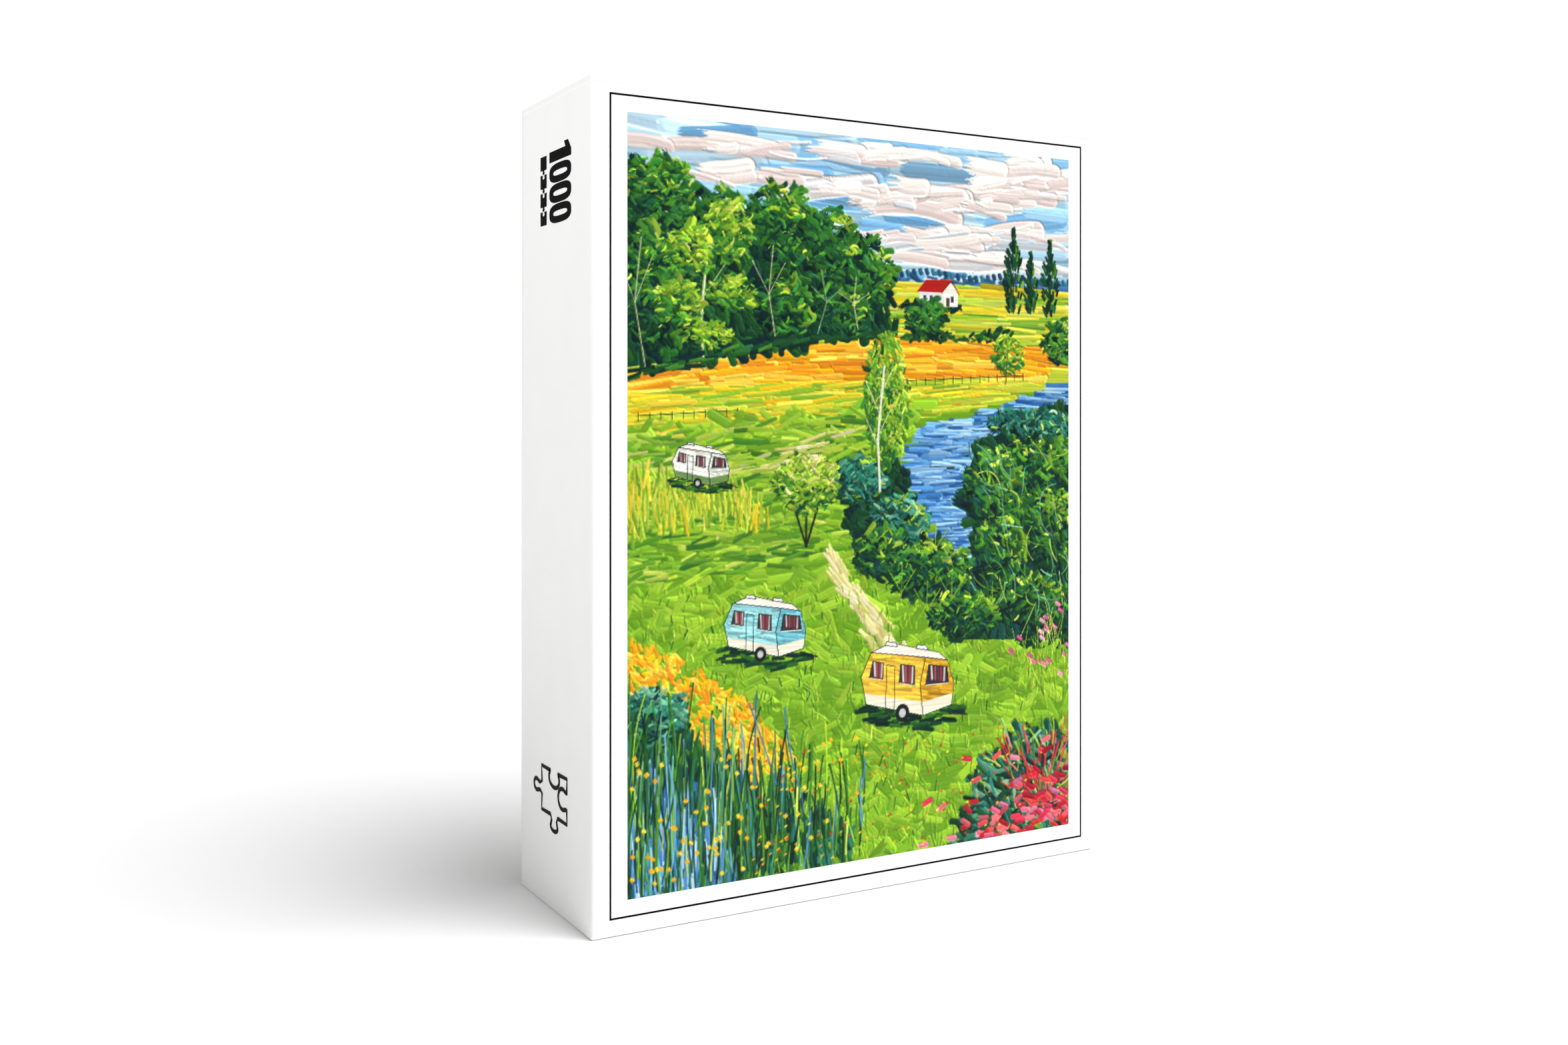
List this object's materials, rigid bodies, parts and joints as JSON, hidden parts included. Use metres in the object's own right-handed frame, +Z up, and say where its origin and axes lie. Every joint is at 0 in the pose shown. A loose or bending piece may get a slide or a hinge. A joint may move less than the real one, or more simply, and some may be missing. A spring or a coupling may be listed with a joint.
{
  "type": "boxed jigsaw puzzle",
  "caption": "Upright telescope box with a countryside picture lid, holding a sealed bag of die-cut jigsaw pieces and a folded picture sheet.",
  "frame": {"origin": "middle of the end that the closed box stands on, at floor height", "axes": "+Z up along the box's height, +X to the right of the picture, -Y out of the picture panel"},
  "size_m": [0.21, 0.068, 0.28],
  "materials": {
    "greyboard": "matte",
    "lid_paper": "satin",
    "tray_paper": "satin",
    "gummed_tape": "matte",
    "sheet_paper": "satin",
    "film": "gloss",
    "puzzle_board": "satin"
  },
  "bodies": {
    "tray": {"tray_board": "greyboard", "tray_wrap": "tray_paper", "tray_corner_tapes": "gummed_tape"},
    "lid": {"lid_board": "greyboard", "lid_wrap": "lid_paper", "lid_corner_tapes": "gummed_tape"},
    "sheet": {"picture_sheet": "sheet_paper"},
    "bag": {"piece_bag": "film", "border_pieces": "puzzle_board", "corner_pieces": "puzzle_board", "inner_pieces_01": "puzzle_board", "inner_pieces_02": "puzzle_board", "inner_pieces_03": "puzzle_board", "inner_pieces_04": "puzzle_board", "inner_pieces_05": "puzzle_board", "inner_pieces_06": "puzzle_board", "inner_pieces_07": "puzzle_board", "inner_pieces_08": "puzzle_board", "inner_pieces_09": "puzzle_board", "inner_pieces_10": "puzzle_board"}
  },
  "joints": [
    {"name": "lid_slide", "type": "slide", "parent": "tray", "child": "lid", "axis": [0, -1, 0], "range_m": [0, 0.3]},
    {"name": "sheet_slide", "type": "slide", "parent": "tray", "child": "sheet", "axis": [0, -1, 0], "range_m": [0, 0.18]},
    {"name": "bag_slide", "type": "slide", "parent": "tray", "child": "bag", "axis": [0, -1, 0], "range_m": [0, 0.105]}
  ],
  "couplings": [
    {"joint": "sheet_slide", "follows": "lid_slide", "ratio": 0.6},
    {"joint": "bag_slide", "follows": "lid_slide", "ratio": 0.35}
  ]
}
